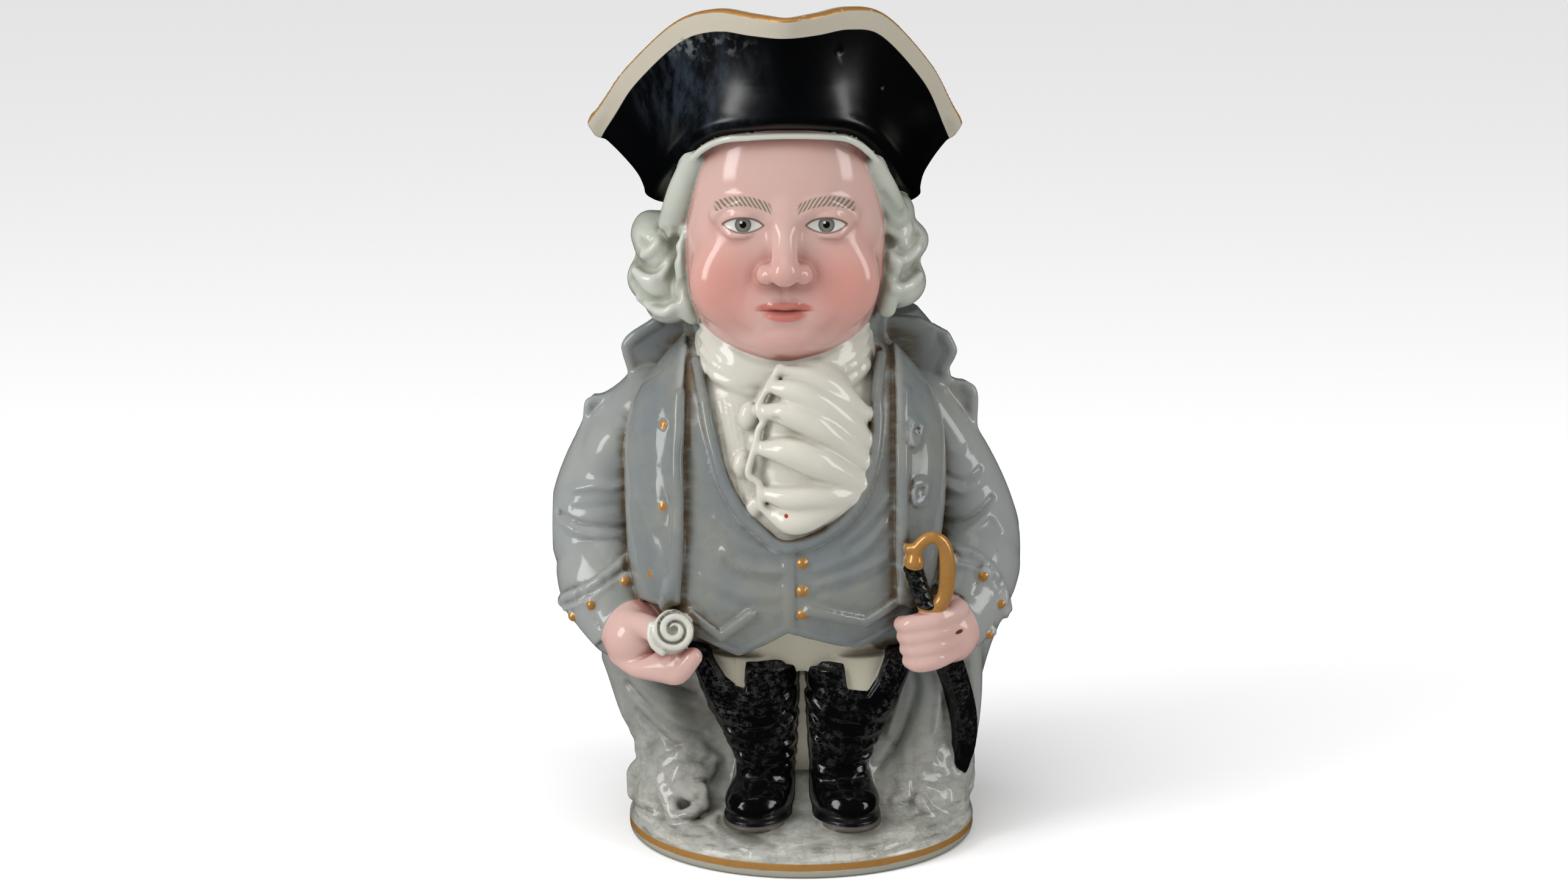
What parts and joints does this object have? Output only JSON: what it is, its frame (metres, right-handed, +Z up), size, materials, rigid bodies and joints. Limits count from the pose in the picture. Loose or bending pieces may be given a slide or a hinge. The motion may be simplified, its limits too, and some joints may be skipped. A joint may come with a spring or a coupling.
{
  "type": "toby jug",
  "caption": "Glazed porcelain jug in the form of a standing stout gentleman in coat and tricorn hat, pouring over the hat's front corner, with a loop handle behind.",
  "frame": {"origin": "centre of the plinth's flat underside", "axes": "+Z up; the figure faces -Y; +X to the viewer's right as seen from the front"},
  "size_m": [0.0993, 0.0977, 0.1799],
  "materials": {
    "porcelain": "glazed and hand-coloured porcelain: grey-blue coat and ground, black hat and boots, white linen, pale skin, gilt rim, sword hilt, buttons and plinth line"
  },
  "bodies": {
    "root": {"jug": "porcelain"}
  },
  "joints": []
}
